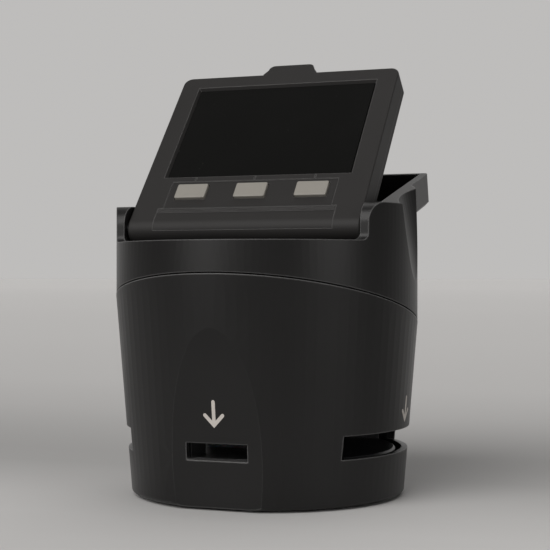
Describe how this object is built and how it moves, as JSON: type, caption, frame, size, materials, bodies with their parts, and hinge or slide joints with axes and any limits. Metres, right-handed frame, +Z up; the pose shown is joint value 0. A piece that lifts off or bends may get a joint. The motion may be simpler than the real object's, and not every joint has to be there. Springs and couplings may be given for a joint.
{
  "type": "film negative scanner",
  "caption": "Round desktop film scanner with crossing film channels and a tilting screen with keys that folds flat into the sloping tray on its top.",
  "frame": {"origin": "on the surface it stands on, under the middle of the round housing, with the screen raised as in its rest pose", "axes": "+Z up, -Y towards the front where the user sits and the keys face, +X to the user's right"},
  "size_m": [0.117, 0.1186, 0.1704],
  "materials": {
    "housing_black": "fine grained black moulded plastic",
    "panel_grey": "satin dark grey moulded plastic",
    "key_grey": "satin warm grey plastic",
    "screen_glass": "polished dark cover glass",
    "screen_module": "switched off screen",
    "foot_rubber": "soft black rubber",
    "screw_steel": "zinc plated steel",
    "pin_steel": "ground steel",
    "board_green": "green lacquered glass fibre board",
    "guide_black": "matte black moulded plastic",
    "diffuser_white": "translucent white plastic",
    "lamp_yellow": "encapsulated white lamp",
    "lens_glass": "coated optical glass",
    "lens_black": "black anodised",
    "sensor_black": "packaged image sensor",
    "switch_black": "moulded push switch",
    "socket_steel": "stamped and plated sheet"
  },
  "bodies": {
    "housing": {"backlight_board": "board_green", "backlight_diffuser": "diffuser_white", "backlight_lamp_1": "lamp_yellow", "backlight_lamp_2": "lamp_yellow", "backlight_lamp_3": "lamp_yellow", "base_plate": "housing_black", "base_screw_1": "screw_steel", "base_screw_2": "screw_steel", "base_screw_3": "screw_steel", "base_screw_4": "screw_steel", "board_screw_1": "screw_steel", "board_screw_2": "screw_steel", "board_screw_3": "screw_steel", "board_screw_4": "screw_steel", "cable_socket": "socket_steel", "card_socket": "socket_steel", "film_guide_lower": "guide_black", "film_guide_upper": "guide_black", "foot_1": "foot_rubber", "foot_2": "foot_rubber", "foot_3": "foot_rubber", "foot_4": "foot_rubber", "hinge_pin_left": "pin_steel", "hinge_pin_right": "pin_steel", "image_sensor": "sensor_black", "lens_barrel": "lens_black", "lens_element_lower": "lens_glass", "lens_element_upper": "lens_glass", "lens_tower": "guide_black", "lower_shell": "housing_black", "main_board": "board_green", "power_board": "board_green", "power_switch": "switch_black", "sensor_board": "board_green", "upper_shell": "housing_black", "video_socket": "socket_steel"},
    "display": {"button_switch_left": "switch_black", "button_switch_middle": "switch_black", "button_switch_right": "switch_black", "display_board": "board_green", "display_frame": "panel_grey", "display_rear_cover": "panel_grey", "display_screw_1": "screw_steel", "display_screw_2": "screw_steel", "display_screw_3": "screw_steel", "display_screw_4": "screw_steel", "display_window": "screen_glass", "hinge_cover": "panel_grey", "lcd_module": "screen_module"},
    "key_left": {"function_button_left": "key_grey"},
    "key_middle": {"function_button_middle": "key_grey"},
    "key_right": {"function_button_right": "key_grey"},
    "power_key": {"power_button": "housing_black"}
  },
  "joints": [
    {"name": "display_hinge", "type": "hinge", "parent": "housing", "child": "display", "pos_m": [0, -0.0241, 0.1017], "axis": [1, 0, 0], "range_deg": [-35.2, 40.8]},
    {"name": "key_press_left", "type": "slide", "parent": "display", "child": "key_left", "axis": [0, 0.757, -0.6534], "range_m": [0, 0.0006], "stiffness_N_per_m": 600, "springref_m": -0.0008},
    {"name": "key_press_middle", "type": "slide", "parent": "display", "child": "key_middle", "axis": [0, 0.757, -0.6534], "range_m": [0, 0.0006], "stiffness_N_per_m": 600, "springref_m": -0.0008},
    {"name": "key_press_right", "type": "slide", "parent": "display", "child": "key_right", "axis": [0, 0.757, -0.6534], "range_m": [0, 0.0006], "stiffness_N_per_m": 600, "springref_m": -0.0008},
    {"name": "power_press", "type": "slide", "parent": "housing", "child": "power_key", "axis": [0, -1, 0], "range_m": [0, 0.0006], "stiffness_N_per_m": 600, "springref_m": -0.0008}
  ]
}
